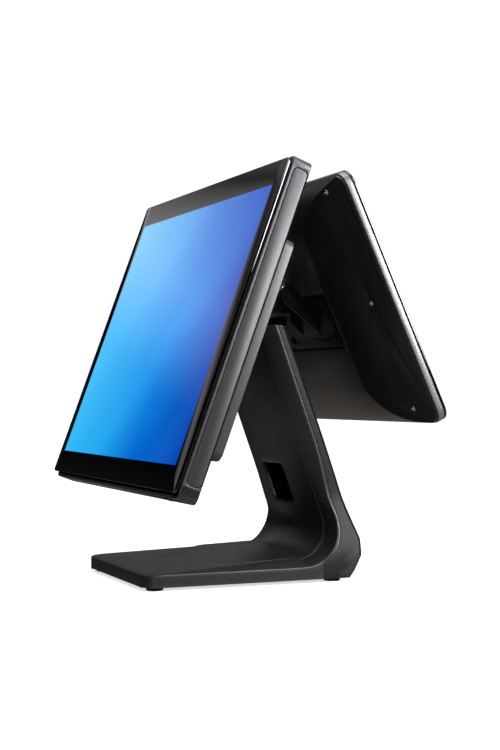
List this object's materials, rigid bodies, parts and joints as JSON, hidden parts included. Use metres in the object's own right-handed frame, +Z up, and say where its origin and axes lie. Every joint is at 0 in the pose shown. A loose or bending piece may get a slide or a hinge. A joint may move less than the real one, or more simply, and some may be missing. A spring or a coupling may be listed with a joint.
{
  "type": "point-of-sale touchscreen terminal",
  "caption": "Counter-top sales terminal: a tilting touchscreen for the cashier and a smaller tilting display for the customer, back to back on the neck of an L-shaped stand.",
  "frame": {"origin": "bottom centre of the whole terminal's box, on the table under the feet", "axes": "+Z up, -Y towards the cashier, +Y towards the customer, X across the terminal, +X on the cashier's right"},
  "size_m": [0.3314, 0.254, 0.3402],
  "materials": {
    "casting": "satin",
    "cover": "satin",
    "housing": "fine grained",
    "gloss": "gloss",
    "glass": "polished",
    "screen": "gloss",
    "rubber": "matt",
    "steel": "brushed",
    "black_steel": "satin",
    "chrome": "polished",
    "aluminium": "satin",
    "board": "satin"
  },
  "bodies": {
    "stand": {"stand_casting": "casting", "neck_rear_cover": "cover", "base_bottom_plate": "black_steel", "ballast_plate": "steel", "foot_front_left": "rubber", "foot_front_right": "rubber", "foot_rear_left": "rubber", "foot_rear_right": "rubber", "base_screw_1": "steel", "base_screw_2": "steel", "base_screw_3": "steel", "base_screw_4": "steel", "cover_screw_1": "black_steel", "cover_screw_2": "black_steel", "neck_hinge_bracket": "black_steel", "friction_washer_left": "steel", "friction_washer_right": "steel"},
    "main_head": {"main_tilt_shaft": "chrome", "main_shaft_nut_left": "chrome", "main_shaft_nut_right": "chrome", "main_touch_glass": "glass", "main_glass_gasket": "rubber", "main_lcd_panel": "screen", "main_chassis_plate": "steel", "main_rear_housing": "housing", "side_cover_left": "housing", "side_cover_right": "housing", "module_housing": "housing", "main_board": "board", "cpu_heatsink": "aluminium", "storage_drive": "aluminium", "speaker_left": "rubber", "speaker_right": "rubber", "io_port_block": "steel", "head_hinge_plate": "black_steel", "head_screw_1": "steel", "head_screw_2": "steel", "head_screw_3": "steel", "head_screw_4": "steel"},
    "power_button": {"power_button": "gloss"},
    "customer_head": {"display_tilt_shaft": "chrome", "display_shaft_nut_left": "chrome", "display_shaft_nut_right": "chrome", "customer_glass": "glass", "customer_lcd_panel": "screen", "customer_bezel_frame": "gloss", "customer_rear_shell": "gloss", "customer_driver_board": "board", "customer_hinge_plate": "black_steel", "plate_screw_1": "steel", "plate_screw_2": "steel", "plate_screw_3": "steel", "plate_screw_4": "steel", "shell_screw_1": "chrome", "shell_screw_2": "chrome", "shell_screw_3": "chrome", "shell_screw_4": "chrome", "shell_screw_5": "chrome", "shell_screw_6": "chrome"}
  },
  "joints": [
    {"name": "main_tilt", "type": "hinge", "parent": "stand", "child": "main_head", "pos_m": [0, -0.02105, 0.238], "axis": [-1, 0, 0], "range_deg": [-20, 12]},
    {"name": "customer_tilt", "type": "hinge", "parent": "stand", "child": "customer_head", "pos_m": [0, 0.02195, 0.253], "axis": [1, 0, 0], "range_deg": [-15, 5]},
    {"name": "power_press", "type": "slide", "parent": "main_head", "child": "power_button", "axis": [0, 0.3461, 0.9382], "range_m": [0, 0.0012], "stiffness_N_per_m": 400}
  ]
}
